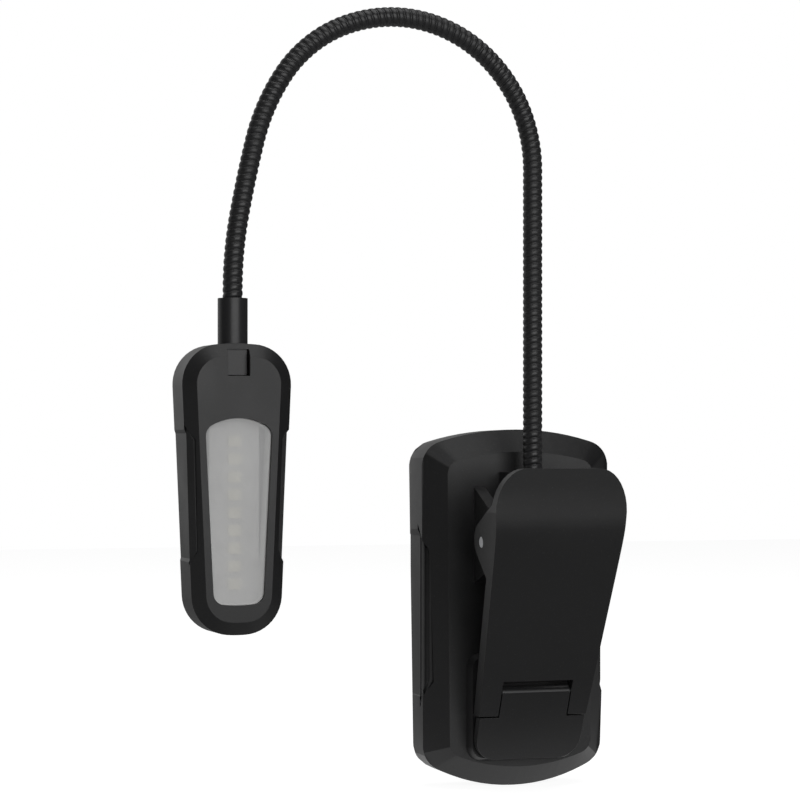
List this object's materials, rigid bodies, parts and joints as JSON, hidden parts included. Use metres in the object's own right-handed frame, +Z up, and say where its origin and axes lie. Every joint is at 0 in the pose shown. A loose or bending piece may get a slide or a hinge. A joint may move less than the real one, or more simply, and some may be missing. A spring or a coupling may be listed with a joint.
{
  "type": "clip-on reading lamp",
  "caption": "Clip-on reading lamp: rechargeable base with a sprung clip and fold-out foot, a flexible coiled neck and a flat light head.",
  "frame": {"origin": "centre of the jaw pad's face, where the clip holds a page or board", "axes": "+Z up along the base towards the neck, -Y out of the clip side, +Y out of the flat front face with the button, +X to the right seen from the clip side"},
  "size_m": [0.1238, 0.0472, 0.2063],
  "materials": {
    "black_plastic": "satin moulded, fine texture",
    "ferrule_black": "satin moulded",
    "soft_rubber": "soft-touch matte",
    "steel": "bright drawn",
    "neck_coil": "black satin coil",
    "lead_sheath": "matte sheath",
    "green_board": "solder mask",
    "white_board": "white solder mask",
    "chip_black": "moulded",
    "cell_foil": "foil pouch",
    "foam": "foam",
    "diffuser": "translucent, frosted",
    "white_plastic": "moulded white",
    "light_chip": "phosphor gel"
  },
  "bodies": {
    "base": {"base_front_shell": "black_plastic", "base_rear_shell": "black_plastic", "base_grip_left": "soft_rubber", "base_grip_right": "soft_rubber", "base_screws": "steel", "jaw_pad": "soft_rubber", "button_switch": "steel", "status_light": "diffuser", "main_board": "green_board", "board_chips": "chip_black", "usb_socket": "steel", "battery_cell": "cell_foil", "battery_foam": "foam", "battery_leads": "lead_sheath", "clip_pin": "steel", "clip_spring": "steel", "neck_anchor": "neck_coil", "neck_lead_root": "lead_sheath"},
    "button": {"power_button": "black_plastic"},
    "arm": {"clip_arm": "black_plastic", "clip_spring_leg": "steel", "foot_pin": "steel"},
    "foot": {"clip_foot": "black_plastic", "foot_pad": "soft_rubber"},
    "link_1": {"neck_link_1": "neck_coil", "neck_lead_1": "lead_sheath"},
    "link_2": {"neck_link_2": "neck_coil", "neck_lead_2": "lead_sheath"},
    "link_3": {"neck_link_3": "neck_coil", "neck_lead_3": "lead_sheath"},
    "link_4": {"neck_link_4": "neck_coil", "neck_lead_4": "lead_sheath"},
    "link_5": {"neck_link_5": "neck_coil", "neck_lead_5": "lead_sheath"},
    "link_6": {"neck_link_6": "neck_coil", "neck_lead_6": "lead_sheath"},
    "link_7": {"neck_link_7": "neck_coil", "neck_lead_7": "lead_sheath"},
    "link_8": {"neck_link_8": "neck_coil", "neck_lead_8": "lead_sheath"},
    "link_9": {"neck_link_9": "neck_coil", "neck_lead_9": "lead_sheath"},
    "link_10": {"neck_link_10": "neck_coil", "neck_lead_10": "lead_sheath"},
    "link_11": {"neck_link_11": "neck_coil", "neck_lead_11": "lead_sheath"},
    "head": {"neck_tip": "neck_coil", "neck_ferrule": "ferrule_black", "head_rear_shell": "black_plastic", "head_bezel": "black_plastic", "head_lens": "diffuser", "head_reflector": "white_plastic", "led_board": "white_board", "led_chips": "light_chip", "head_grip_left": "soft_rubber", "head_grip_right": "soft_rubber", "head_screws": "steel", "head_lead": "lead_sheath"}
  },
  "joints": [
    {"name": "clip_hinge", "type": "hinge", "parent": "base", "child": "arm", "pos_m": [0, -0.0144, 0.0444], "axis": [-1, 0, 0], "range_deg": [0, 25], "stiffness_Nm_per_rad": 0.35, "springref_deg": -34.38},
    {"name": "foot_hinge", "type": "hinge", "parent": "arm", "child": "foot", "pos_m": [0, -0.00702, 0.0042], "axis": [-1, 0, 0], "range_deg": [0, 95]},
    {"name": "button_press", "type": "slide", "parent": "base", "child": "button", "axis": [0, -1, 0], "range_m": [0, 0.0004], "stiffness_N_per_m": 900, "springref_m": -0.0006},
    {"name": "neck_lean", "type": "hinge", "parent": "base", "child": "link_1", "pos_m": [0, -0.0061, 0.0656], "axis": [1, 0, 0], "range_deg": [-30, 30]},
    {"name": "neck_lower_bend", "type": "hinge", "parent": "link_1", "child": "link_2", "pos_m": [0, -0.0061, 0.0913], "axis": [0, -1, 0], "range_deg": [-15, 8]},
    {"name": "neck_lower_bend_2", "type": "hinge", "parent": "link_2", "child": "link_3", "pos_m": [0, -0.0061, 0.117], "axis": [0, -1, 0], "range_deg": [-15, 8]},
    {"name": "neck_arch_bend", "type": "hinge", "parent": "link_3", "child": "link_4", "pos_m": [0, -0.0061, 0.1427], "axis": [0, -1, 0], "range_deg": [-20, 1.5]},
    {"name": "neck_arch_bend_2", "type": "hinge", "parent": "link_4", "child": "link_5", "pos_m": [-0.00462, -0.0061, 0.16124], "axis": [0, -1, 0], "range_deg": [-20, 1.5]},
    {"name": "neck_arch_bend_3", "type": "hinge", "parent": "link_5", "child": "link_6", "pos_m": [-0.01752, -0.0061, 0.17531], "axis": [0, -1, 0], "range_deg": [-20, 1.5]},
    {"name": "neck_arch_bend_4", "type": "hinge", "parent": "link_6", "child": "link_7", "pos_m": [-0.03564, -0.0061, 0.18129], "axis": [0, -1, 0], "range_deg": [-20, 1.5]},
    {"name": "neck_arch_bend_5", "type": "hinge", "parent": "link_7", "child": "link_8", "pos_m": [-0.0544, -0.0061, 0.17773], "axis": [0, -1, 0], "range_deg": [-20, 1.5]},
    {"name": "neck_arch_bend_6", "type": "hinge", "parent": "link_8", "child": "link_9", "pos_m": [-0.06888, -0.0061, 0.16536], "axis": [0, -1, 0], "range_deg": [-20, 1.5]},
    {"name": "neck_tip_bend", "type": "hinge", "parent": "link_9", "child": "link_10", "pos_m": [-0.07671, -0.0061, 0.14777], "axis": [0, -1, 0], "range_deg": [-15, 5]},
    {"name": "neck_tip_bend_2", "type": "hinge", "parent": "link_10", "child": "link_11", "pos_m": [-0.08082, -0.0061, 0.12882], "axis": [0, -1, 0], "range_deg": [-15, 5]},
    {"name": "head_nod", "type": "hinge", "parent": "link_11", "child": "head", "pos_m": [-0.0826, -0.0061, 0.10954], "axis": [1, 0, 0], "range_deg": [-30, 30]}
  ],
  "couplings": [
    {"joint": "neck_lower_bend_2", "follows": "neck_lower_bend", "ratio": 1},
    {"joint": "neck_arch_bend_2", "follows": "neck_arch_bend", "ratio": 1},
    {"joint": "neck_arch_bend_3", "follows": "neck_arch_bend", "ratio": 1},
    {"joint": "neck_arch_bend_4", "follows": "neck_arch_bend", "ratio": 1},
    {"joint": "neck_arch_bend_5", "follows": "neck_arch_bend", "ratio": 1},
    {"joint": "neck_arch_bend_6", "follows": "neck_arch_bend", "ratio": 1},
    {"joint": "neck_tip_bend_2", "follows": "neck_tip_bend", "ratio": 1}
  ]
}
